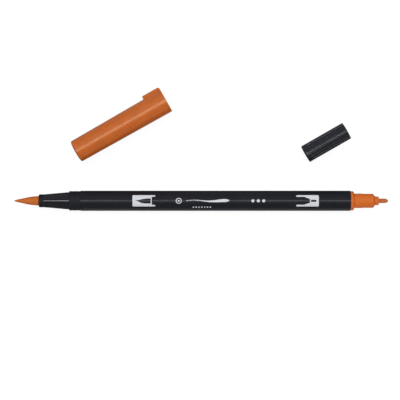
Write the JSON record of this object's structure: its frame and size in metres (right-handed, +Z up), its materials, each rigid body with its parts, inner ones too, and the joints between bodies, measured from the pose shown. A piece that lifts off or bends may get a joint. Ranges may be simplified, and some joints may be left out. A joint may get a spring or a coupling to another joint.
{
  "type": "brush pen",
  "caption": "Double-ended brush pen with a pointed brush tip at one end, a round fine nib at the other, and a push-on cap for each end.",
  "frame": {"origin": "on the pen's axis, at the middle of the barrel", "axes": "+X along the pen towards the fine nib, +Z up from the surface that the pen and its caps lie on, +Y towards the side where the caps lie"},
  "size_m": [0.1525, 0.0501, 0.01],
  "materials": {
    "barrel_black": "satin black moulding",
    "section_black": "semi-gloss black moulding",
    "cap_black": "satin black moulding, fluted",
    "cap_orange": "satin orange moulding",
    "holder_orange": "semi-gloss orange moulding",
    "brush_orange": "soft elastic fibre tip, matt and ink-stained",
    "nib_orange": "compressed fibre, matt and ink-stained",
    "reservoir_fibre": "ink-soaked fibre",
    "reservoir_film": "thin clear film",
    "spacer_plastic": "natural moulding",
    "liner_plastic": "natural moulding"
  },
  "bodies": {
    "pen": {"barrel": "barrel_black", "ink_reservoir": "reservoir_fibre", "reservoir_wrap": "reservoir_film", "brush_section": "section_black", "brush_collar": "section_black", "brush_tip": "brush_orange", "fine_tip_holder": "holder_orange", "fine_nib": "nib_orange"},
    "brush_cap_carrier": {"spacer_ring_brush_end": "spacer_plastic"},
    "fine_cap_carrier": {"spacer_ring_fine_end": "spacer_plastic"},
    "brush_cap": {"brush_cap_shell": "cap_orange", "brush_cap_liner": "liner_plastic"},
    "fine_cap": {"fine_cap_shell": "cap_black", "fine_cap_liner": "liner_plastic"}
  },
  "joints": [
    {"name": "brush_cap_push", "type": "slide", "parent": "pen", "child": "brush_cap_carrier", "axis": [1, 0, 0], "range_m": [0, 0.05305]},
    {"name": "brush_cap_swing", "type": "hinge", "parent": "brush_cap_carrier", "child": "brush_cap", "pos_m": [-0.14122, 0.18689, 0.00324], "axis": [0.002, 0.0177, -0.9998], "range_deg": [0, 29.6]},
    {"name": "fine_cap_push", "type": "slide", "parent": "pen", "child": "fine_cap_carrier", "axis": [-1, 0, 0], "range_m": [0, 0.0207]},
    {"name": "fine_cap_swing", "type": "hinge", "parent": "fine_cap_carrier", "child": "fine_cap", "pos_m": [0.0212, -0.06644, -0.00091], "axis": [0.0124, 0.0033, -0.9999], "range_deg": [0, 29.8]}
  ]
}
